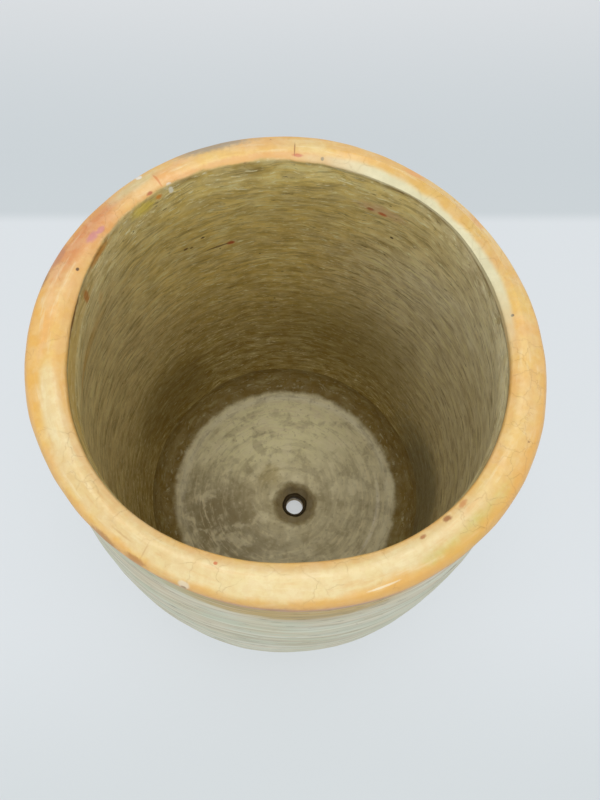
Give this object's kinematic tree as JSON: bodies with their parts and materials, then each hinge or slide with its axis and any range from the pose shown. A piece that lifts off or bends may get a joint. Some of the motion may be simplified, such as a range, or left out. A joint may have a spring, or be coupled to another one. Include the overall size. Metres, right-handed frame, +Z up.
{
  "type": "ceramic crock fermenter",
  "caption": "Hand-built ceramic crock: barrel body with a rolled glazed rim, open top, coved floor and a drain hole through the floor slab.",
  "frame": {"origin": "centre of the underside, on the barrel's own axis", "axes": "+Z up the barrel's axis, out of the mouth; +X to the right and -Y towards the viewer who looks down into the mouth, with the drain hole a little right of and in front of the centre"},
  "size_m": [0.2839, 0.284, 0.35],
  "materials": {
    "glazed_rim": "burnished ochre glaze, semi-gloss, crazed",
    "slipped_wall": "pale slip outside, raw olive-grey clay inside, matt",
    "bare_floor": "raw olive-grey clay, matt"
  },
  "bodies": {
    "root": {"floor_slab": "bare_floor", "wall": "slipped_wall", "corner_coil": "bare_floor", "rim": "glazed_rim"}
  },
  "joints": []
}
